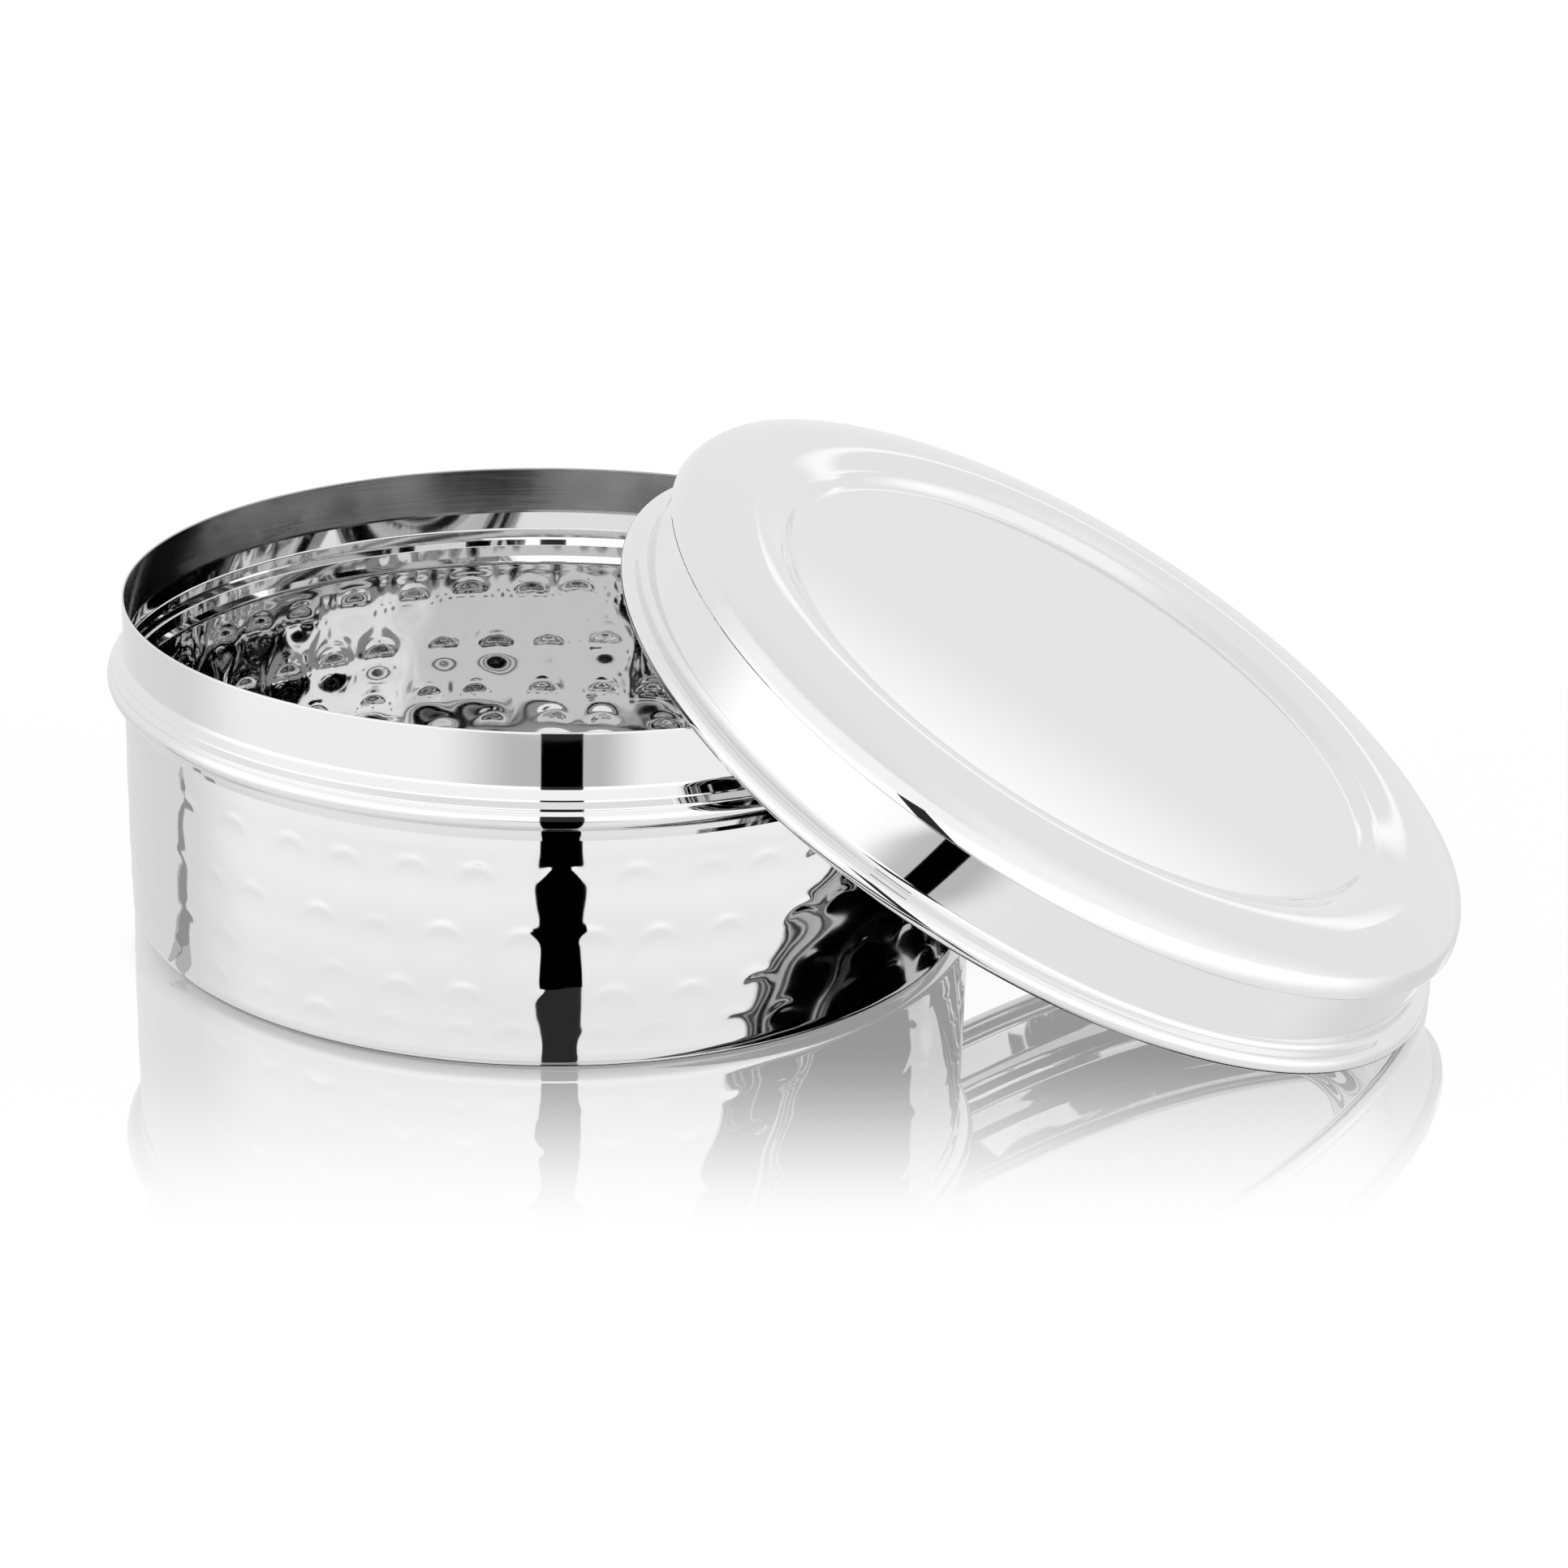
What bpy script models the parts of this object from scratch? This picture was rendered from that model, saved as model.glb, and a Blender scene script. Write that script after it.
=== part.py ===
"""Hammered stainless steel food container with its press-on lid taken off and leaning on the rim.

The container stands on the floor with its underside's centre at the origin, +Z up.
The lid leans towards +X: its low edge is on the floor and its rolled edge lies on the rim.
Both are single pieces of drawn sheet. Lengths are in metres, angles in radians.
"""
import math

import bpy
from mathutils import Matrix, Vector

# Sheet and clearances
SHEET = 0.0006            # thickness of the drawn sheet, both pieces
FIT_CLEARANCE = 0.0003    # between the container's neck and the lid's skirt when closed
REST_CLEARANCE = 0.0003   # between the lid's rolled edge and the rim that it rests on

# Container
RIM_RADIUS = 0.100        # outside of the straight neck
CONTAINER_HEIGHT = 0.0774
NECK_HEIGHT = 0.0124      # straight neck that the lid's skirt slips over
BEAD_REACH = 0.0040       # how far the round bead stands out past the neck
BEAD_RADIUS = 0.0030      # roundness of the bead's section
BEAD_SLOPE = math.radians(40.0)   # where the sloping shoulder leaves the bead's round
SHOULDER_FILLET = 0.0010  # hollow between the neck and the sloping shoulder
WALL_STEP = 0.0002        # how far the wall stands outside the neck, below the bead
WALL_BARREL = 0.0002      # how much the wall swells at half its height
PLAIN_BAND = 0.0070       # smooth band between the bead and the hammered rows
BASE_CORNER = 0.0035      # roundness between the wall and the flat base

# Hammered rows
HAMMER_ROWS = 4
HAMMER_COUNT = 36         # dimples in each row
HAMMER_DEPTH = 0.00045
HAMMER_STAGGER_SHARE = 0.5    # sideways shift from one row to the next, in dimples

# Lid
SKIRT_HEIGHT = 0.0192     # from the middle of the rolled edge up to the crease
ROLL_RADIUS = 0.0022      # outside of the rolled edge's round
ROLL_REACH = 0.0047       # how far the rolled edge stands out past the skirt
ROLL_TURN = math.radians(265.0)   # how far the sheet is rolled round
SKIRT_FILLET = 0.0020     # hollow between the skirt and the rolled edge
CREASE_BULGE = 0.0004     # how far the round shoulder stands out past the skirt
RING_HEIGHT = 0.0058      # top of the raised ring above the crease
RING_RADIUS = 0.0850      # where the raised ring is highest
RECESS_RADIUS = 0.0776    # edge of the sunken panel's step
RECESS_FALL = 0.0022      # how far the ring falls from its top to that edge
PANEL_RADIUS = 0.0732     # flat sunken panel
PANEL_DEPTH = 0.0025      # height of the step from that edge to the panel

# The lean
LEAN_ANGLE = math.radians(27.7)

# How finely the round pieces are divided
TURN_STEPS = 2 * HAMMER_COUNT     # two facets to each dimple
FILLET_STEPS = 3
BEAD_STEPS = 8
SHOULDER_STEPS = 6
RING_TRIALS = 720         # points of the rolled edge that are tried against the rim


def clear_scene():
    for old in list(bpy.data.objects):
        bpy.data.objects.remove(old, do_unlink=True)


def steel(name, colour, roughness):
    material = bpy.data.materials.new(name)
    material.use_nodes = True
    shader = material.node_tree.nodes["Principled BSDF"]
    shader.inputs["Base Color"].default_value = (*colour, 1.0)
    shader.inputs["Metallic"].default_value = 1.0
    shader.inputs["Roughness"].default_value = roughness
    return material


def arc(centre, radius, start, end, steps):
    """Points of a round stretch in the plane of the section, start and end included."""
    points = []
    for step in range(steps + 1):
        angle = start + (end - start) * step / steps
        points.append((centre[0] + radius * math.cos(angle), centre[1] + radius * math.sin(angle)))
    return points


def oval_quarter(centre, reach, rise, steps):
    """Points of a quarter of an oval, from its top down to its outermost point."""
    points = []
    for step in range(steps + 1):
        angle = math.pi / 2 * (1.0 - step / steps)
        points.append((centre[0] + reach * math.cos(angle), centre[1] + rise * math.sin(angle)))
    return points


def turned(name, outline, steps, collection):
    """Turn an outline of (radius, height) points about the Z axis into one mesh object."""
    mesh = bpy.data.meshes.new(name + "_outline")
    mesh.from_pydata([(radius, 0.0, height) for radius, height in outline],
                     [(i, i + 1) for i in range(len(outline) - 1)], [])
    guide = bpy.data.objects.new(name, mesh)
    collection.objects.link(guide)
    screw = guide.modifiers.new("turn", "SCREW")
    screw.axis = "Z"
    screw.angle = math.tau
    screw.steps = steps
    screw.render_steps = steps
    screw.use_merge_vertices = True
    screw.merge_threshold = SHEET / 20
    bpy.context.view_layer.update()
    evaluated = guide.evaluated_get(bpy.context.evaluated_depsgraph_get())
    solid = bpy.data.objects.new(name, bpy.data.meshes.new_from_object(evaluated))
    bpy.data.objects.remove(guide, do_unlink=True)
    bpy.data.meshes.remove(mesh)
    solid.name = name
    solid.data.name = name
    collection.objects.link(solid)
    return solid


def thicken(piece):
    """Give the outer surface its sheet thickness, inwards."""
    shell = piece.modifiers.new("sheet", "SOLIDIFY")
    shell.thickness = SHEET
    shell.offset = -1.0
    shell.use_even_offset = True


def bead_centre():
    """Middle of the container bead's round section, from the neck and the sloping shoulder."""
    radius = RIM_RADIUS + BEAD_REACH - BEAD_RADIUS
    slope_run = radius + BEAD_RADIUS * math.cos(BEAD_SLOPE) - RIM_RADIUS
    slope_drop = slope_run / math.tan(BEAD_SLOPE)
    height = CONTAINER_HEIGHT - NECK_HEIGHT - slope_drop - BEAD_RADIUS * math.sin(BEAD_SLOPE)
    return radius, height


def wall_top():
    """Height where the wall starts, under the bead."""
    radius, height = bead_centre()
    inward = RIM_RADIUS + WALL_STEP - radius
    return height - math.sqrt(max(BEAD_RADIUS ** 2 - inward ** 2, 0.0))


def hammered_top():
    return wall_top() - PLAIN_BAND


def wall_radius(height):
    """Outside of the wall: straight, with a slight swell at half its height."""
    share = (height - BASE_CORNER) / (wall_top() - BASE_CORNER)
    return RIM_RADIUS + WALL_STEP + WALL_BARREL * math.sin(math.pi * share)


def container_outline():
    """Outer section of the container, from the rim down to the middle of the base."""
    centre = bead_centre()
    neck_bottom = CONTAINER_HEIGHT - NECK_HEIGHT
    fillet_rise = SHOULDER_FILLET * math.tan((math.pi / 2 - BEAD_SLOPE) / 2)
    fillet_centre = (RIM_RADIUS + SHOULDER_FILLET, neck_bottom + fillet_rise)
    points = [(RIM_RADIUS, CONTAINER_HEIGHT)]
    points += arc(fillet_centre, SHOULDER_FILLET, math.pi, math.pi + BEAD_SLOPE, FILLET_STEPS)
    under = math.acos((RIM_RADIUS + WALL_STEP - centre[0]) / BEAD_RADIUS)
    points += arc(centre, BEAD_RADIUS, BEAD_SLOPE, -under, BEAD_STEPS)
    row = (hammered_top() - BASE_CORNER) / (2 * HAMMER_ROWS)
    for ring in range(2 * HAMMER_ROWS + 1):
        height = hammered_top() - ring * row
        points.append((wall_radius(height), height))
    corner = (wall_radius(BASE_CORNER) - BASE_CORNER, BASE_CORNER)
    points += arc(corner, BASE_CORNER, 0.0, -math.pi / 2, FILLET_STEPS)[1:]
    points.append((0.0, 0.0))
    return points


def hammer(piece):
    """Press the rows of shallow dimples into the wall, every other row shifted sideways."""
    row = (hammered_top() - BASE_CORNER) / HAMMER_ROWS
    for point in piece.data.vertices:
        radius = math.hypot(point.co.x, point.co.y)
        down = (hammered_top() - point.co.z) / row
        if radius < RIM_RADIUS or not 0.0 < down < HAMMER_ROWS:
            continue
        row_index = int(down)
        turn = math.atan2(point.co.y, point.co.x) / math.tau * HAMMER_COUNT
        across = turn + HAMMER_STAGGER_SHARE * row_index
        depth = math.sin(math.pi * (down - row_index)) * (1.0 + math.cos(math.tau * across)) / 2
        shrink = 1.0 - HAMMER_DEPTH * depth / radius
        point.co.x *= shrink
        point.co.y *= shrink


def make_container(collection):
    piece = turned("container_body", container_outline(), TURN_STEPS, collection)
    hammer(piece)
    thicken(piece)
    piece.data.materials.append(steel("container_steel", (0.80, 0.80, 0.79), 0.10))
    return piece


def skirt_radius():
    return RIM_RADIUS + FIT_CLEARANCE + SHEET


def roll_centre_radius():
    return skirt_radius() + ROLL_REACH - ROLL_RADIUS


def panel_height():
    """Top of the sunken panel, above the middle of the rolled edge."""
    return SKIRT_HEIGHT + RING_HEIGHT - RECESS_FALL - PANEL_DEPTH


def lid_outline():
    """Outer section of the lid from its middle outwards, with the rolled edge's middle at height 0."""
    skirt = skirt_radius()
    panel = panel_height()
    step_top = panel + PANEL_DEPTH
    step_run = RECESS_RADIUS - PANEL_RADIUS
    ring_run = RING_RADIUS - RECESS_RADIUS
    points = [(0.0, panel), (PANEL_RADIUS, panel)]
    for step in range(1, FILLET_STEPS):
        share = step / FILLET_STEPS
        rise = PANEL_DEPTH * (1.0 - math.cos(math.pi * share)) / 2
        points.append((PANEL_RADIUS + step_run * share, panel + rise))
    for step in range(FILLET_STEPS + 1):
        share = step / FILLET_STEPS
        rise = RECESS_FALL * math.sin(math.pi / 2 * share)
        points.append((RECESS_RADIUS + ring_run * share, step_top + rise))
    reach = skirt + CREASE_BULGE - RING_RADIUS
    points += oval_quarter((RING_RADIUS, SKIRT_HEIGHT), reach, RING_HEIGHT, SHOULDER_STEPS)[1:]
    points.append((skirt, SKIRT_HEIGHT - CREASE_BULGE))
    hollow = (skirt + SKIRT_FILLET, ROLL_RADIUS + SKIRT_FILLET)
    points += arc(hollow, SKIRT_FILLET, math.pi, math.pi * 3 / 2, FILLET_STEPS)
    roll = (roll_centre_radius(), 0.0)
    points += arc(roll, ROLL_RADIUS, math.pi / 2, math.pi / 2 - ROLL_TURN, BEAD_STEPS)
    return points


def lean_matrix(shift):
    """Place of the lid: rolled edge on the floor at +X, middle at this distance from the axis."""
    rise = roll_centre_radius() * math.sin(LEAN_ANGLE) + ROLL_RADIUS
    return Matrix.Translation(Vector((shift, 0.0, rise))) @ Matrix.Rotation(LEAN_ANGLE, 4, "Y")


def gap_to_rim(shift):
    """Least distance from the leaning lid to the rim, at its rolled edge and under its panel."""
    place = lean_matrix(shift)
    rim_middle = RIM_RADIUS - SHEET / 2
    rim_point = place.inverted() @ Vector((RIM_RADIUS, 0.0, CONTAINER_HEIGHT))
    nearest = panel_height() - SHEET - rim_point.z
    for trial in range(RING_TRIALS):
        angle = math.pi * trial / RING_TRIALS
        point = place @ (Vector((math.cos(angle), math.sin(angle), 0.0)) * roll_centre_radius())
        aside = max(abs(math.hypot(point.x, point.y) - rim_middle) - SHEET / 2, 0.0)
        above = max(point.z - CONTAINER_HEIGHT, 0.0)
        nearest = min(nearest, math.hypot(aside, above) - ROLL_RADIUS)
    return nearest


def lean_shift():
    """Distance from the container's axis at which the lid, brought in from +X, meets the rim."""
    step = SHEET / 2
    clear = 2 * (RIM_RADIUS + BEAD_REACH)
    while gap_to_rim(clear - step) > REST_CLEARANCE:
        clear -= step
    touching = clear - step
    while clear - touching > SHEET / RING_TRIALS:
        middle = (clear + touching) / 2
        if gap_to_rim(middle) > REST_CLEARANCE:
            clear = middle
        else:
            touching = middle
    return clear


def make_lid(collection):
    piece = turned("lid", lid_outline(), TURN_STEPS, collection)
    thicken(piece)
    piece.data.materials.append(steel("lid_steel", (0.83, 0.83, 0.82), 0.06))
    piece.matrix_world = lean_matrix(lean_shift())
    return piece


def main():
    clear_scene()
    collection = bpy.data.collections.new("steel_food_container")
    bpy.context.scene.collection.children.link(collection)
    pieces = [make_container(collection), make_lid(collection)]
    for piece in pieces:
        piece.data.shade_smooth()
        piece.data.set_sharp_from_angle(angle=math.radians(40.0))


main()
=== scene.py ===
"""Looks of a hammered steel food container and its leaning lid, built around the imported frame.

Both CAD nodes are replaced by finer meshes of the same forms, because polished steel shows
every facet and every ripple of its surface. Lengths are in metres, angles in radians.
"""
import math
import random

import bpy
from mathutils import Matrix, Vector


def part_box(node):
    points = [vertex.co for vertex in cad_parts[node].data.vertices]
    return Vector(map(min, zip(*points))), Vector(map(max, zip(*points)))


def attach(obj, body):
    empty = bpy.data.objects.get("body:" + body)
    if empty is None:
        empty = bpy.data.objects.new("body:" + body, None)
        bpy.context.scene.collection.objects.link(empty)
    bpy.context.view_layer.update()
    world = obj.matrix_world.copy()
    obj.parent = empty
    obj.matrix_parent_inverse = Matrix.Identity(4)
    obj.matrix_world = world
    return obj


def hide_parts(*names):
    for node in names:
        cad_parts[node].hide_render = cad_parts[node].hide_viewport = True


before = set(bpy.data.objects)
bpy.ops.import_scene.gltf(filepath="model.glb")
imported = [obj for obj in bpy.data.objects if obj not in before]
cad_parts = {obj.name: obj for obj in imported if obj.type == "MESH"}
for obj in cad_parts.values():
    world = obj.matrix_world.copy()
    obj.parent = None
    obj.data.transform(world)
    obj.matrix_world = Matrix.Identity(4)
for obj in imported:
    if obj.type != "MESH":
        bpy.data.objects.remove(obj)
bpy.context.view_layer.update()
container_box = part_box("container_body")
lid_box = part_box("lid")

# Sheet
SHEET = 0.0006
EDGE_STEPS = 6
GUARD = 0.00006          # how close to its ends a straight stretch has its guard points

# Container section. Pairs in the sections' lists are a radius and a height
RIM_RADIUS = 0.100
RIM_HEIGHT = container_box[1].z
NECK_BOTTOM = 0.0649
NECK_FOOT = ((0.0004, -0.0005), (0.00012, 0.0), (0.0, 0.0005))    # small hollow under the neck
SHOULDER = ((0.1015, 0.0630), (0.10158, 0.0626), (0.1029, 0.0616), (0.10298, 0.0613))
BEAD_CENTRE = (0.1010, 0.0590)
BEAD_RADIUS = 0.0029
BEAD_LEAVE = math.radians(50.0)
WALL_RADIUS = 0.1002
WALL_BARREL = 0.0002
BEAD_UNDER = math.acos((WALL_RADIUS - BEAD_CENTRE[0]) / BEAD_RADIUS)
WALL_TOP = BEAD_CENTRE[1] - math.sin(BEAD_UNDER) * BEAD_RADIUS
BASE_CORNER = 0.0035

# Inner face of the container, from the neck down: shoulder, groove behind the bead, plain wall
INSIDE_RADIUS = 0.0994
INSIDE_NECK = 0.0662
INSIDE_SHOULDER = ((0.0996, 0.0655), (0.1012, 0.0607), (0.1010, 0.0604), (0.1015, 0.0600))
INSIDE_GROOVE = ((0.1015, 0.0581), (0.1013, 0.0575), (0.1006, 0.0545), (0.0998, 0.0521))
INSIDE_WALL_TOP = 0.0518
INSIDE_LAP = 0.00002

# Lid section
LEAN_ANGLE = math.radians(27.7)
ROLL_RADIUS = 0.0022
ROLL_TURN = math.radians(265.0)
SKIRT_RADIUS = 0.1009
ROLL_CENTRE = SKIRT_RADIUS + 0.0047 - ROLL_RADIUS
SKIRT_HEIGHT = 0.0192
SKIRT_FILLET = 0.0016
EDGE_RADIUS = 0.0080
EDGE_LOW = math.radians(8.0)
EDGE_HIGH = math.radians(40.0)
CREASE_NOTCH = 0.00008
CREASE_DROPS = (0.00012, 0.0002)
RING_HEIGHT = 0.0058
SHOULDER_REACH = 0.0209
SHOULDER_FALL = 0.0120
SHOULDER_END = math.radians(42.5)
RING_RADIUS = 0.0850
RECESS_RADIUS = 0.0776
RECESS_FALL = 0.0022
PANEL_RADIUS = 0.0732
PANEL_DEPTH = 0.0025
PANEL_EDGE = 0.0004
PANEL_HEIGHT = SKIRT_HEIGHT + RING_HEIGHT - RECESS_FALL - PANEL_DEPTH

# How finely the pieces are divided
CONTAINER_STEPS = 900
LID_STEPS = 540
WALL_ROWS = 84
INSIDE_ROWS = 76
BEAD_STEPS = 18
CORNER_STEPS = 7
PANEL_STEPS = 8
RECESS_STEPS = 14
SHOULDER_STEPS = 22
LID_EDGE_STEPS = 14
FILLET_STEPS = 9
ROLL_STEPS = 30

# Camera, fitted to the photograph
CAMERA_PLACE = Vector((0.24952, -0.71965, 0.32149))
CAMERA_TURN = math.radians(19.1225 - 4.1085)
CAMERA_DOWN = math.radians(21.0299)
CAMERA_ROLL = math.radians(1.8446)
CAMERA_LENS = 78.2609
SENSOR = 36.0
TOWARD = Vector((0.3276, -0.9448, 0.0))
RIGHT = Vector((0.9448, 0.3276, 0.0))


def arc(centre, radius, start, end, steps):
    """Points of a round stretch of a section, both ends included."""
    points = []
    for step in range(steps + 1):
        angle = start + (end - start) * step / steps
        points.append((centre[0] + radius * math.cos(angle), centre[1] + radius * math.sin(angle)))
    return points


def straight(start, end, steps):
    """Points of a straight stretch, without its first point; close ones at its ends keep it straight."""
    length = math.hypot(end[0] - start[0], end[1] - start[1])
    guard = min(GUARD / length, 0.2)
    shares = [guard] + [guard + (1.0 - 2 * guard) * step / steps for step in range(1, steps + 1)] + [1.0]
    return [(start[0] + (end[0] - start[0]) * share, start[1] + (end[1] - start[1]) * share) for share in shares]


def section_normals(points):
    """Unit normals of a section on its left side, one for each point."""
    normals = []
    for i, point in enumerate(points):
        before = points[max(i - 1, 0)]
        after = points[min(i + 1, len(points) - 1)]
        run = Vector((after[0] - before[0], after[1] - before[1])).normalized()
        normals.append((-run.y, run.x))
    return normals


def closed_sheet(outer, turn_in, inner=None):
    """Close an outer section with its inner face and a rounded sheet edge at its last point."""
    if inner is None:
        inner = [(max(point[0] - turn_in * normal[0] * SHEET, 0.0), point[1] - turn_in * normal[1] * SHEET)
                 for point, normal in zip(outer, section_normals(outer))][::-1]
    edge = []
    middle = ((outer[-1][0] + inner[0][0]) / 2, (outer[-1][1] + inner[0][1]) / 2)
    half = Vector((outer[-1][0] - middle[0], outer[-1][1] - middle[1]))
    ahead = Vector((outer[-1][0] - outer[-2][0], outer[-1][1] - outer[-2][1])).normalized() * half.length
    for step in range(1, EDGE_STEPS):
        angle = math.pi * step / EDGE_STEPS
        edge.append((middle[0] + half.x * math.cos(angle) + ahead.x * math.sin(angle),
                     middle[1] + half.y * math.cos(angle) + ahead.y * math.sin(angle)))
    return outer + edge + inner


def revolve(name, section, steps, shift=None):
    """Turn a section that starts and ends on the axis into one closed mesh."""
    vertices = [(0.0, 0.0, section[0][1])]
    faces = []
    for radius, height in section[1:-1]:
        moves = shift(radius, height) if shift else None
        for step in range(steps):
            angle = math.tau * step / steps
            far = radius + moves[step] if moves else radius
            vertices.append((far * math.cos(angle), far * math.sin(angle), height))
    vertices.append((0.0, 0.0, section[-1][1]))
    last = len(vertices) - 1
    rings = len(section) - 2
    for step in range(steps):
        beside = (step + 1) % steps
        faces.append((0, 1 + beside, 1 + step))
        faces.append((last, last - steps + step, last - steps + beside))
        for ring in range(rings - 1):
            low = 1 + ring * steps
            high = low + steps
            faces.append((low + step, low + beside, high + beside, high + step))
    mesh = bpy.data.meshes.new(name)
    mesh.from_pydata(vertices, [], faces)
    mesh.validate()
    mesh.shade_smooth()
    piece = bpy.data.objects.new(name, mesh)
    bpy.context.scene.collection.objects.link(piece)
    return piece


# Hammering. Each row has a first blow, in degrees from the camera's side, and the height of its upper lips
HAMMER_ROWS = ((0.5, 0.0466), (4.5, 0.0323), (-1.5, 0.0191), (5.0, 0.0100))
HAMMER_COUNT = 41
HAMMER_WANDER = math.radians(1.3)
HAMMER_RISE = 0.0006
HAMMER_SEED = 5
HAMMER_TOP = 0.0516
HAMMER_CALM = 0.003
BLOW_STRENGTHS = (0.75, 1.25)
LIP_STRENGTHS = (0.3, 1.4)
DENT_ACROSS = 0.0055
DENT_UP = 0.0044
DENT_DEPTH = 0.00015
CORE_OUTSIDE = (0.0023, 0.00002)
CORE_INSIDE = (0.0030, 0.00016)
LIP_RADIUS = 0.0042
LIP_WIDTH = 0.0008
LIP_HEIGHT = 0.00013
DENT_REACH = 0.0150


def hammer_blows():
    """Middle, strength and lip of each blow, row by row, spaced evenly but for a hand's wander."""
    draw = random.Random(HAMMER_SEED)
    front = math.atan2(TOWARD.y, TOWARD.x)
    blows = []
    for first, lip_height in HAMMER_ROWS:
        for step in range(HAMMER_COUNT):
            turn = front + math.radians(first) + math.tau * step / HAMMER_COUNT
            turn += draw.uniform(-1.0, 1.0) * HAMMER_WANDER
            level = lip_height - LIP_RADIUS + draw.uniform(-1.0, 1.0) * HAMMER_RISE
            blows.append((turn % math.tau, level, draw.uniform(*BLOW_STRENGTHS), draw.uniform(*LIP_STRENGTHS)))
    return blows


BLOWS = hammer_blows()


def dent(across, up, strength, lip, core):
    """Radial move at a place beside a blow's middle: a broad hollow, its core and its upper lip."""
    far = math.hypot(across, up)
    if far > DENT_REACH:
        return 0.0
    move = DENT_DEPTH * math.exp(-((across / DENT_ACROSS) ** 2 + (up / DENT_UP) ** 2) / 2)
    move = -strength * (move + core[1] * math.exp(-(far / core[0]) ** 2 / 2))
    if up > 0.0:
        move += lip * LIP_HEIGHT * math.exp(-((far - LIP_RADIUS) / LIP_WIDTH) ** 2 / 2) * (up / far) ** 2
    return move


def hammered(radius, height):
    """How far each point of a ring of the wall is pressed in, or None away from the blows."""
    if radius < RIM_RADIUS - 3 * SHEET or height > HAMMER_TOP:
        return None
    core = CORE_INSIDE if radius < wall_radius(height) - SHEET / 2 else CORE_OUTSIDE
    moves = [0.0] * CONTAINER_STEPS
    calm = min(1.0, (HAMMER_TOP - height) / HAMMER_CALM) * min(1.0, height / HAMMER_CALM)
    step_run = math.tau * RIM_RADIUS / CONTAINER_STEPS
    for turn, level, strength, lip in BLOWS:
        up = height - level
        if abs(up) > DENT_REACH:
            continue
        place = turn / math.tau * CONTAINER_STEPS
        reach = int(DENT_REACH / step_run) + 1
        for step in range(round(place) - reach, round(place) + reach + 1):
            moves[step % CONTAINER_STEPS] += calm * dent((step - place) * step_run, up, strength, lip, core)
    return moves


def wall_radius(height):
    """Outside of the wall, with its slight barrel."""
    share = (height - BASE_CORNER) / (WALL_TOP - BASE_CORNER)
    return WALL_RADIUS + WALL_BARREL * math.sin(math.pi * min(max(share, 0.0), 1.0))


def wall_heights(low, high, rows):
    """Heights of the rings between two heights."""
    return [low + (high - low) * step / rows for step in range(1, rows)]


def container_outside():
    """Outer section of the container, from the middle of its base up to the rim."""
    points = [(0.0, 0.0)]
    points += straight((0.0, 0.0), (WALL_RADIUS - BASE_CORNER, 0.0), 3)
    corner = (WALL_RADIUS - BASE_CORNER, BASE_CORNER)
    points += arc(corner, BASE_CORNER, -math.pi / 2, 0.0, CORNER_STEPS)[1:]
    points += [(wall_radius(height), height) for height in wall_heights(BASE_CORNER, WALL_TOP, WALL_ROWS)]
    points.append((wall_radius(WALL_TOP - GUARD), WALL_TOP - GUARD))
    points += arc(BEAD_CENTRE, BEAD_RADIUS, -BEAD_UNDER, BEAD_LEAVE, BEAD_STEPS)
    for corner in reversed(SHOULDER):
        points += straight(points[-1], corner, 1)
    foot = [(RIM_RADIUS + out, NECK_BOTTOM + up) for out, up in NECK_FOOT]
    points += straight(points[-1], foot[0], 1) + foot[1:]
    points += straight(points[-1], (RIM_RADIUS, RIM_HEIGHT - SHEET / 2), 2)
    return points


def container_inside():
    """Inner section of the container, from the rim down to the middle of its base."""
    points = [(INSIDE_RADIUS, RIM_HEIGHT - SHEET / 2)]
    points += straight(points[-1], (INSIDE_RADIUS, INSIDE_NECK), 2)
    for corner in INSIDE_SHOULDER + INSIDE_GROOVE:
        points += straight(points[-1], corner, 2)
    points.append((wall_radius(INSIDE_WALL_TOP) - SHEET + INSIDE_LAP, INSIDE_WALL_TOP))
    heights = wall_heights(BASE_CORNER, INSIDE_WALL_TOP, INSIDE_ROWS)
    points += [(wall_radius(height) - SHEET, height) for height in reversed(heights)]
    corner = (WALL_RADIUS - BASE_CORNER, BASE_CORNER)
    points += arc(corner, BASE_CORNER - SHEET, 0.0, -math.pi / 2, CORNER_STEPS)
    points += straight(points[-1], (0.0, SHEET), 3)
    return points


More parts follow.
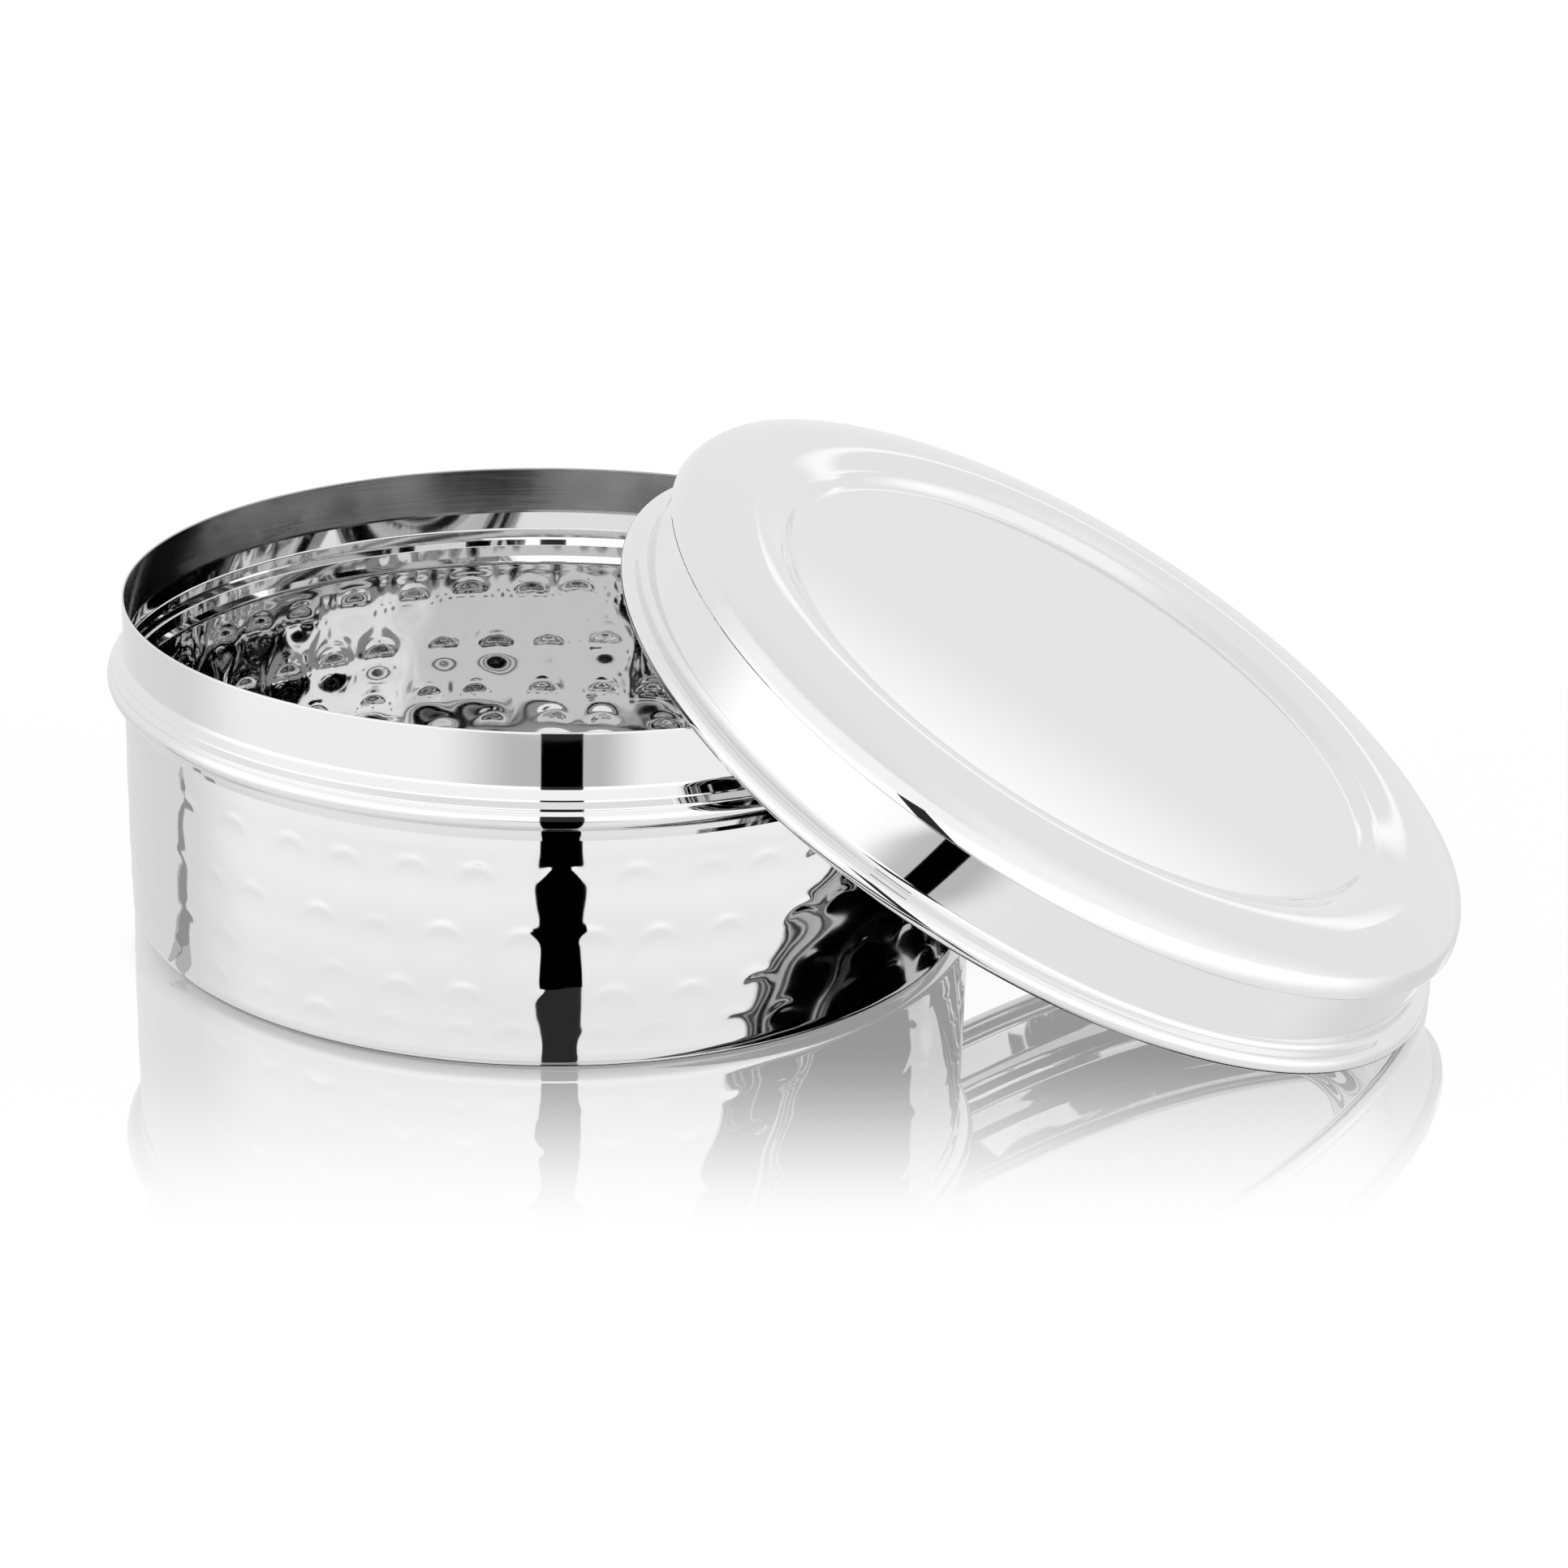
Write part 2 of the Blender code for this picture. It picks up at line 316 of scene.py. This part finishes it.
def lid_section():
    """Outer section of the lid from its middle outwards, rolled edge's middle at height zero."""
    points = [(0.0, PANEL_HEIGHT)]
    points += straight(points[0], (PANEL_RADIUS - PANEL_EDGE, PANEL_HEIGHT), PANEL_STEPS)
    run = RECESS_RADIUS - PANEL_RADIUS
    for step in range(1, RECESS_STEPS):
        share = step / RECESS_STEPS
        rise = PANEL_DEPTH * (1.0 - math.cos(math.pi * share)) / 2
        points.append((PANEL_RADIUS + run * share, PANEL_HEIGHT + rise))
    run = RING_RADIUS - RECESS_RADIUS
    for step in range(RECESS_STEPS + 1):
        share = step / RECESS_STEPS
        rise = PANEL_DEPTH + RECESS_FALL * math.sin(math.pi / 2 * share)
        points.append((RECESS_RADIUS + run * share, PANEL_HEIGHT + rise))
    top = SKIRT_HEIGHT + RING_HEIGHT
    for step in range(1, SHOULDER_STEPS + 1):
        angle = math.pi / 2 + (SHOULDER_END - math.pi / 2) * step / SHOULDER_STEPS
        points.append((RING_RADIUS + SHOULDER_REACH * math.cos(angle),
                       top - SHOULDER_FALL * (1.0 - math.sin(angle))))
    edge = (points[-1][0] - EDGE_RADIUS * math.cos(EDGE_HIGH),
            points[-1][1] - EDGE_RADIUS * math.sin(EDGE_HIGH))
    points += arc(edge, EDGE_RADIUS, EDGE_HIGH, EDGE_LOW, LID_EDGE_STEPS)[1:]
    crease = points[-1][1]
    points.append((SKIRT_RADIUS - CREASE_NOTCH, crease - CREASE_DROPS[0]))
    points.append((SKIRT_RADIUS, crease - CREASE_DROPS[1]))
    hollow = (SKIRT_RADIUS + SKIRT_FILLET, ROLL_RADIUS + SKIRT_FILLET)
    points += straight(points[-1], (SKIRT_RADIUS, hollow[1]), 4)
    points += arc(hollow, SKIRT_FILLET, math.pi, math.pi * 3 / 2, FILLET_STEPS)[1:]
    points += arc((ROLL_CENTRE, 0.0), ROLL_RADIUS, math.pi / 2, math.pi / 2 - ROLL_TURN, ROLL_STEPS)
    return points


# Steel
CONTAINER_GREY = 0.82
CONTAINER_GLOSS = 0.035
# Inner neck: its darker grey is painted shade; its rougher, stretched gloss and rub are real brushed lines
NECK_PAINTED_SHADE_GREY = 0.40
NECK_GLOSS = 0.13
NECK_STRETCH = (0.02, 0.02, 1.0)
NECK_SCALE = 2500.0
NECK_RUB = 0.1
LID_GREY = 0.83
LID_GLOSS = 0.03
PLAIN_SCALE = 40.0
CLOUD_RANGE = (0.3, 0.7)
CLOUD_DETAIL = 4.0
GLOSS_SPREAD = 0.3
RUB_DEPTH = 0.0001


def node(tree, kind, **values):
    """A new node with its settings."""
    made = tree.nodes.new(kind)
    for key, value in values.items():
        setattr(made, key, value)
    return made


def noise(tree, source, scale, stretch, detail):
    """Cloud texture on the object's own coordinates, stretched along each axis."""
    squeeze = node(tree, "ShaderNodeVectorMath", operation="MULTIPLY")
    squeeze.inputs[1].default_value = stretch
    tree.links.new(source, squeeze.inputs[0])
    cloud = node(tree, "ShaderNodeTexNoise")
    cloud.inputs["Scale"].default_value = scale
    cloud.inputs["Detail"].default_value = detail
    tree.links.new(squeeze.outputs[0], cloud.inputs["Vector"])
    return cloud.outputs["Fac"]


def between(tree, source, low, high, to_low, to_high, smooth=False):
    """Map a value's range to another range."""
    made = node(tree, "ShaderNodeMapRange")
    if smooth:
        made.interpolation_type = "SMOOTHSTEP"
    for name, value in (("From Min", low), ("From Max", high), ("To Min", to_low), ("To Max", to_high)):
        made.inputs[name].default_value = value
    tree.links.new(source, made.inputs["Value"])
    return made.outputs["Result"]


def steel(name, colour, roughness, stretch=(1.0, 1.0, 1.0), scale=PLAIN_SCALE, rub=0.0):
    """Steel whose gloss wanders a little; rub adds fine brushed lines along the stretched axes."""
    material = bpy.data.materials.new(name)
    material.use_nodes = True
    tree = material.node_tree
    shader = tree.nodes["Principled BSDF"]
    shader.inputs["Metallic"].default_value = 1.0
    shader.inputs["Base Color"].default_value = (colour, colour, colour, 1.0)
    place = node(tree, "ShaderNodeTexCoord").outputs["Object"]
    gloss = noise(tree, place, scale, stretch, CLOUD_DETAIL)
    spread = between(tree, gloss, *CLOUD_RANGE, roughness * (1.0 - GLOSS_SPREAD), roughness * (1.0 + GLOSS_SPREAD))
    tree.links.new(spread, shader.inputs["Roughness"])
    if rub:
        bump = node(tree, "ShaderNodeBump")
        bump.inputs["Strength"].default_value = rub
        bump.inputs["Distance"].default_value = RUB_DEPTH
        tree.links.new(gloss, bump.inputs["Height"])
        tree.links.new(bump.outputs["Normal"], shader.inputs["Normal"])
    return material


def lid_place():
    """Where the CAD lid leans: worked out from the frame's own lid, so that both agree."""
    shift = lid_box[0].x + ROLL_CENTRE * math.cos(LEAN_ANGLE) + ROLL_RADIUS
    rise = ROLL_CENTRE * math.sin(LEAN_ANGLE) + ROLL_RADIUS
    return Matrix.Translation(Vector((shift, 0.0, rise))) @ Matrix.Rotation(LEAN_ANGLE, 4, "Y")


container = revolve("container_hammered", closed_sheet(container_outside(), -1.0, container_inside()),
                    CONTAINER_STEPS, hammered)
container.data.materials.append(steel("container_steel_polished", CONTAINER_GREY, CONTAINER_GLOSS))
# The inner neck's faces get a darker copy of the steel: painted shade, with real brushed lines
container.data.materials.append(
    steel("container_steel_brushed_painted_shade", NECK_PAINTED_SHADE_GREY, NECK_GLOSS, NECK_STRETCH, NECK_SCALE, NECK_RUB))
for face in container.data.polygons:
    inside = math.hypot(face.center.x, face.center.y) < RIM_RADIUS - SHEET / 2
    if inside and face.center.z > NECK_BOTTOM + NECK_FOOT[-1][1]:
        face.material_index = 1
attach(container, "container")
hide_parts("container_body")

lid = revolve("lid_polished", closed_sheet(lid_section(), 1.0), LID_STEPS)
lid.data.transform(lid_place())
lid.data.materials.append(steel("lid_steel_polished", LID_GREY, LID_GLOSS))
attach(lid, "lid")
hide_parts("lid")


# The studio. Floor and cards use the camera's own two ground directions, TOWARD and RIGHT.
FLOOR_HALF = 4.0
FLOOR_MIRROR = 0.85      # what the steel mirrors of the floor
FLOOR_ROUGHNESS = 0.06
GRAZING = (0.66, 0.98)
IMAGE_MIRROR = 0.78      # the object's image in the floor
FADE_LEVEL = 0.70
FADE_FROM = 0.085
FADE_TO = 0.175
SHADE_GREY = 0.92
SHADE_SHARE = 0.06
# Painted shadow: the floor's mirror image is darkened by distance from the axis, next to the container's foot on
# the camera's side
PAINTED_SHADOW_REACH = (RIM_RADIUS - 0.003, RIM_RADIUS + 0.008)
PAINTED_SHADOW_FRONT = (0.02, 0.07)
PAINTED_SHADOW_LOSS = 0.45

# The gap between the lights: a low wedge that widens away from the container, an upright and a soft halo
CARD_HEIGHT = 0.018
CARD_APEX = 0.0507
CARD_START = 0.104
CARD_END = 0.255
CARD_LEFT = math.tan(math.radians(-3.7))
CARD_RIGHT = math.tan(math.radians(6.9))
CARD_TOP = 0.141
UNDER_GLOW = 0.03
HALO_FROM = 0.195
HALO_TO = 0.275
HALO_LEVEL = 0.45
HALO_LEFT = (math.radians(-32.0), math.radians(-8.0))
HALO_RIGHT = (math.radians(10.0), math.radians(24.0))
HALO_SOFT = 0.02
HALO_NEAR_SPAN = (-0.11, 0.08)
HALO_FAR_SPAN = (-0.15, 0.11)
HALO_HEIGHT = CARD_HEIGHT - 0.0005

# A bright sheet behind the object: it lifts what the lid mirrors towards the lid's front edge
SHEET_WAY = Vector((0.214, 0.926, 0.310)).normalized()
SHEET_FAR = 0.5
SHEET_RISE = Vector((0.4306, -0.3739, 0.8195)).normalized()
SHEET_SPAN = 0.16
SHEET_EXTRA = 0.22
SHEET_LIFT = (0.002, 0.050)
SHEET_DROP = (0.055, 0.090)

# A thin dark strip on the floor, mirrored at the wall's left
STRIP_FROM = (0.050, -0.092)
STRIP_TO = (-0.002, -0.205)
STRIP_WIDTH = 0.015
STRIP_HEIGHT = 0.003
STRIP_DENSITY = 0.35

# Three plain lights: one on the camera's side that weakens upwards, one behind and one overhead
FRONT_LEVEL = 1.3
FRONT_HIGH_LEVEL = 1.08
FRONT_RISE = (0.20, 0.55)
BACK_LEVEL = 0.92
TOP_LEVEL = 0.88
FRONT_EDGE = (-0.40, 0.10)
TOP_EDGE = (0.80, 0.98)


def dot(tree, source, direction):
    """How far a vector reaches along a direction."""
    made = node(tree, "ShaderNodeVectorMath", operation="DOT_PRODUCT")
    made.inputs[1].default_value = direction
    tree.links.new(source, made.inputs[0])
    return made.outputs["Value"]


def maths(tree, operation, first, second):
    """A sum of two numbers or outputs."""
    made = node(tree, "ShaderNodeMath", operation=operation)
    for socket, value in zip(made.inputs, (first, second)):
        if isinstance(value, float):
            socket.default_value = value
        else:
            tree.links.new(value, socket)
    return made.outputs[0]


def mix(tree, share, first, second):
    """Mix two shaders; share is a number or an output."""
    made = node(tree, "ShaderNodeMixShader")
    if isinstance(share, float):
        made.inputs[0].default_value = share
    else:
        tree.links.new(share, made.inputs[0])
    tree.links.new(first, made.inputs[1])
    tree.links.new(second, made.inputs[2])
    return made.outputs[0]


def glow(tree, strength):
    """Plain light of a strength, which is a number or an output."""
    made = node(tree, "ShaderNodeEmission")
    if isinstance(strength, float):
        made.inputs["Strength"].default_value = strength
    else:
        tree.links.new(strength, made.inputs["Strength"])
    return made.outputs[0]


def clear(tree):
    """Nothing at all."""
    return node(tree, "ShaderNodeBsdfTransparent").outputs[0]


def mirror(tree, colour, roughness):
    """A mirror whose colour comes from an output."""
    made = node(tree, "ShaderNodeBsdfGlossy")
    made.inputs["Roughness"].default_value = roughness
    tree.links.new(colour, made.inputs["Color"])
    return made.outputs[0]


def stage_material(name):
    """An empty material, its tree and the socket for its shader."""
    material = bpy.data.materials.new(name)
    material.use_nodes = True
    tree = material.node_tree
    tree.nodes.clear()
    return material, tree, node(tree, "ShaderNodeOutputMaterial").inputs["Surface"]


def floor_material():
    """White to the camera, with a mirror image and a faint real shadow that fade away from the object; the image
    is also darkened by position next to the container's foot on the camera's side, a painted shadow.
    """
    material, tree, surface = stage_material("studio_floor")
    place = node(tree, "ShaderNodeNewGeometry").outputs["Position"]
    toward = maths(tree, "ABSOLUTE", dot(tree, place, TOWARD), 0.0)
    fade = between(tree, toward, FADE_FROM, FADE_TO, FADE_LEVEL, 0.0, True)
    shade = node(tree, "ShaderNodeBsdfDiffuse")
    shade.inputs["Color"].default_value = (SHADE_GREY, SHADE_GREY, SHADE_GREY, 1.0)
    length = node(tree, "ShaderNodeVectorMath", operation="LENGTH")
    tree.links.new(place, length.inputs[0])
    # Painted shadow round the container's foot: the mirror's grey drops by distance from the axis, on the camera's
    # side
    painted_shadow = between(tree, length.outputs["Value"], *PAINTED_SHADOW_REACH, PAINTED_SHADOW_LOSS, 0.0, True)
    front = between(tree, dot(tree, place, TOWARD), *PAINTED_SHADOW_FRONT, 0.0, 1.0, True)
    painted_shadow_mirror = maths(tree, "SUBTRACT", IMAGE_MIRROR, maths(tree, "MULTIPLY", painted_shadow, front))
    image = mix(tree, SHADE_SHARE, mirror(tree, painted_shadow_mirror, 0.0), shade.outputs[0])
    seen = mix(tree, fade, glow(tree, 1.0), image)
    path = node(tree, "ShaderNodeLightPath")
    grazing = node(tree, "ShaderNodeLayerWeight").outputs["Facing"]
    under = mirror(tree, between(tree, grazing, *GRAZING, FLOOR_MIRROR, 1.0), FLOOR_ROUGHNESS)
    tree.links.new(mix(tree, path.outputs["Is Camera Ray"], under, seen), surface)
    return material


def card(name, corners, material):
    """A flat card of the stage."""
    mesh = bpy.data.meshes.new(name)
    mesh.from_pydata(corners, [], [tuple(range(len(corners)))])
    piece = bpy.data.objects.new(name, mesh)
    bpy.context.scene.collection.objects.link(piece)
    piece.data.materials.append(material)
    return piece


def spot(toward, right, height):
    """A place given along the camera's ground directions."""
    return TOWARD * toward + RIGHT * right + Vector((0.0, 0.0, height))


card("floor", [(-FLOOR_HALF, -FLOOR_HALF, 0.0), (FLOOR_HALF, -FLOOR_HALF, 0.0),
               (FLOOR_HALF, FLOOR_HALF, 0.0), (-FLOOR_HALF, FLOOR_HALF, 0.0)], floor_material())


def unseen(tree, shader):
    """The shader for what the steel mirrors, and nothing for the camera or the floor's own image."""
    path = node(tree, "ShaderNodeLightPath")
    hide = maths(tree, "MAXIMUM", path.outputs["Is Camera Ray"], path.outputs["Is Singular Ray"])
    return mix(tree, hide, shader, clear(tree))


def black_material():
    """The dark gap between the studio's lights, black above and nearly black below."""
    material, tree, surface = stage_material("studio_gap")
    back = node(tree, "ShaderNodeNewGeometry").outputs["Backfacing"]
    tree.links.new(unseen(tree, mix(tree, back, glow(tree, 0.0), glow(tree, UNDER_GLOW))), surface)
    return material


def halo_material():
    """The soft grey beside the gap, seen from above only."""
    material, tree, surface = stage_material("studio_halo")
    geometry = node(tree, "ShaderNodeNewGeometry")
    toward = dot(tree, geometry.outputs["Position"], TOWARD)
    right = dot(tree, geometry.outputs["Position"], RIGHT)
    turn = maths(tree, "ARCTAN2", right, maths(tree, "SUBTRACT", toward, CARD_APEX))
    density = maths(tree, "MULTIPLY", between(tree, turn, *HALO_LEFT, 0.0, HALO_LEVEL, True),
                    between(tree, turn, *HALO_RIGHT, 1.0, 0.0, True))
    near = between(tree, toward, HALO_FROM, HALO_FROM + HALO_SOFT, 0.0, 1.0, True)
    far = between(tree, toward, HALO_TO - HALO_SOFT, HALO_TO, 1.0, 0.0, True)
    density = maths(tree, "MULTIPLY", density, maths(tree, "MULTIPLY", near, far))
    above = maths(tree, "SUBTRACT", 1.0, geometry.outputs["Backfacing"])
    density = maths(tree, "MULTIPLY", density, above)
    tree.links.new(unseen(tree, mix(tree, density, clear(tree), glow(tree, 0.0))), surface)
    return material


black = black_material()
card("gap_wedge", [spot(t, (t - CARD_APEX) * side, CARD_HEIGHT) for t, side in (
    (CARD_START, CARD_LEFT), (CARD_END, CARD_LEFT), (CARD_END, CARD_RIGHT), (CARD_START, CARD_RIGHT))], black)
card("gap_upright", [spot(CARD_END, (CARD_END - CARD_APEX) * side, height) for side, height in (
    (CARD_LEFT, CARD_HEIGHT), (CARD_RIGHT, CARD_HEIGHT), (CARD_RIGHT, CARD_TOP), (CARD_LEFT, CARD_TOP))], black)
card("gap_halo", [spot(toward, right, HALO_HEIGHT) for toward, right in (
    (HALO_FROM, HALO_NEAR_SPAN[0]), (HALO_TO, HALO_FAR_SPAN[0]),
    (HALO_TO, HALO_FAR_SPAN[1]), (HALO_FROM, HALO_NEAR_SPAN[1]))], halo_material())


def sheet_material():
    """Clear at its foot and brighter upwards, so that it only adds light."""
    material, tree, surface = stage_material("studio_sheet")
    place = node(tree, "ShaderNodeNewGeometry").outputs["Position"]
    middle = LID_PANEL + SHEET_WAY * SHEET_FAR
    up = maths(tree, "SUBTRACT", dot(tree, place, SHEET_RISE), middle.dot(SHEET_RISE))
    lift = between(tree, up, *SHEET_LIFT, 0.0, SHEET_EXTRA, True)
    fall = between(tree, up, *SHEET_DROP, 1.0, 0.0, True)
    add = node(tree, "ShaderNodeAddShader")
    tree.links.new(glow(tree, maths(tree, "MULTIPLY", lift, fall)), add.inputs[0])
    tree.links.new(clear(tree), add.inputs[1])
    tree.links.new(unseen(tree, add.outputs[0]), surface)
    return material


LID_PANEL = lid_place() @ Vector((0.0, 0.0, PANEL_HEIGHT))
along = SHEET_WAY.cross(SHEET_RISE).normalized()
sheet_middle = LID_PANEL + SHEET_WAY * SHEET_FAR
card("bright_sheet", [sheet_middle + along * a * SHEET_SPAN + SHEET_RISE * b * SHEET_SPAN
                      for a, b in ((-1, 0), (1, 0), (1, 1), (-1, 1))], sheet_material())


def strip_material():
    """A thin grey veil."""
    material, tree, surface = stage_material("studio_strip")
    tree.links.new(unseen(tree, mix(tree, STRIP_DENSITY, clear(tree), glow(tree, 0.0))), surface)
    return material


card("dark_strip", [spot(t, r + side * STRIP_WIDTH / 2, STRIP_HEIGHT) for (t, r), side in (
    (STRIP_FROM, -1), (STRIP_FROM, 1), (STRIP_TO, 1), (STRIP_TO, -1))], strip_material())


def studio_world():
    """White to the camera; round the object a pale studio that is a little brighter on the camera's side."""
    world = bpy.data.worlds.new("studio")
    world.use_nodes = True
    tree = world.node_tree
    tree.nodes.clear()
    out = node(tree, "ShaderNodeOutputWorld")
    place = node(tree, "ShaderNodeTexCoord").outputs["Generated"]
    rise = dot(tree, place, (0.0, 0.0, 1.0))
    front = between(tree, rise, *FRONT_RISE, FRONT_LEVEL - BACK_LEVEL, FRONT_HIGH_LEVEL - BACK_LEVEL, True)
    share = between(tree, dot(tree, place, TOWARD), *FRONT_EDGE, 0.0, 1.0, True)
    side = maths(tree, "ADD", maths(tree, "MULTIPLY", front, share), BACK_LEVEL)
    above = between(tree, rise, *TOP_EDGE, 0.0, 1.0, True)
    drop = maths(tree, "MULTIPLY", above, maths(tree, "SUBTRACT", side, TOP_LEVEL))
    studio = node(tree, "ShaderNodeBackground")
    tree.links.new(maths(tree, "SUBTRACT", side, drop), studio.inputs["Strength"])
    studio.inputs["Color"].default_value = (1.0, 1.0, 1.0, 1.0)
    image = node(tree, "ShaderNodeBackground")
    image.inputs["Color"].default_value = (1.0, 1.0, 1.0, 1.0)
    image.inputs["Strength"].default_value = 1.0 / IMAGE_MIRROR
    white = node(tree, "ShaderNodeBackground")
    white.inputs["Color"].default_value = (1.0, 1.0, 1.0, 1.0)
    path = node(tree, "ShaderNodeLightPath")
    shown = mix(tree, path.outputs["Is Singular Ray"], studio.outputs[0], image.outputs[0])
    tree.links.new(mix(tree, path.outputs["Is Camera Ray"], shown, white.outputs[0]), out.inputs["Surface"])
    bpy.context.scene.world = world


studio_world()


def make_camera():
    """The camera at the photograph's viewing angle."""
    flat = Vector((-math.sin(CAMERA_TURN), math.cos(CAMERA_TURN), 0.0))
    ahead = flat * math.cos(CAMERA_DOWN) - Vector((0.0, 0.0, math.sin(CAMERA_DOWN)))
    right = Vector((math.cos(CAMERA_TURN), math.sin(CAMERA_TURN), 0.0))
    up = right.cross(ahead)
    side = right * math.cos(CAMERA_ROLL) + up * math.sin(CAMERA_ROLL)
    top = up * math.cos(CAMERA_ROLL) - right * math.sin(CAMERA_ROLL)
    data = bpy.data.cameras.new("camera")
    data.sensor_width = SENSOR
    data.lens = CAMERA_LENS
    camera = bpy.data.objects.new("camera", data)
    bpy.context.scene.collection.objects.link(camera)
    camera.matrix_world = Matrix((
        (side.x, top.x, -ahead.x, CAMERA_PLACE.x),
        (side.y, top.y, -ahead.y, CAMERA_PLACE.y),
        (side.z, top.z, -ahead.z, CAMERA_PLACE.z),
        (0.0, 0.0, 0.0, 1.0)))
    bpy.context.scene.camera = camera


make_camera()
bpy.context.scene.view_settings.view_transform = "Standard"
